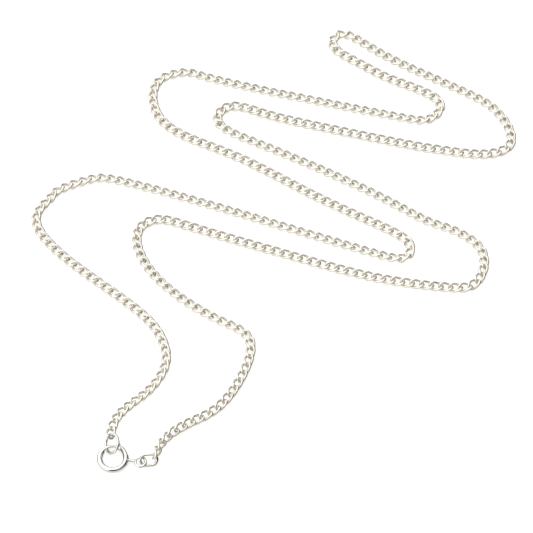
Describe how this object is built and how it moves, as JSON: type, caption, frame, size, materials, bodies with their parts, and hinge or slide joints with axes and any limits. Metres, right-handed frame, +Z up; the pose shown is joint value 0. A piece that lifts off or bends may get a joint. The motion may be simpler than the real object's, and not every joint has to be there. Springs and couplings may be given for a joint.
{
  "type": "curb chain necklace",
  "caption": "Fine curb chain necklace laid down in bends, with a closed spring ring clasp, a round jump ring and an oval jump ring.",
  "frame": {"origin": "centre of the bounding box on the surface that the necklace lies on", "axes": "+Z up from the surface, +Y away from the clasp to the far bends of the chain, +X to the right as seen from the clasp"},
  "size_m": [0.092, 0.1, 0.0033],
  "materials": {
    "chain_silver": "bright polished silver, faintly warm in the recesses",
    "clasp_silver": "bright polished silver",
    "ring_silver": "bright polished silver wire"
  },
  "bodies": {
    "necklace": {"chain_left": "chain_silver", "chain_right": "chain_silver", "end_links_left": "chain_silver", "end_links_right": "chain_silver", "jump_ring_left": "ring_silver", "jump_ring_right": "ring_silver", "spring_ring": "clasp_silver"},
    "bolt": {"bolt": "clasp_silver"}
  },
  "joints": [
    {"name": "bolt_slide", "type": "hinge", "parent": "necklace", "child": "bolt", "pos_m": [-0.0297, -0.047, 0.00072], "axis": [-0.0416, -0.0817, 0.9958], "range_deg": [-50, 0], "stiffness_Nm_per_rad": 0.001, "springref_deg": 28.65}
  ]
}
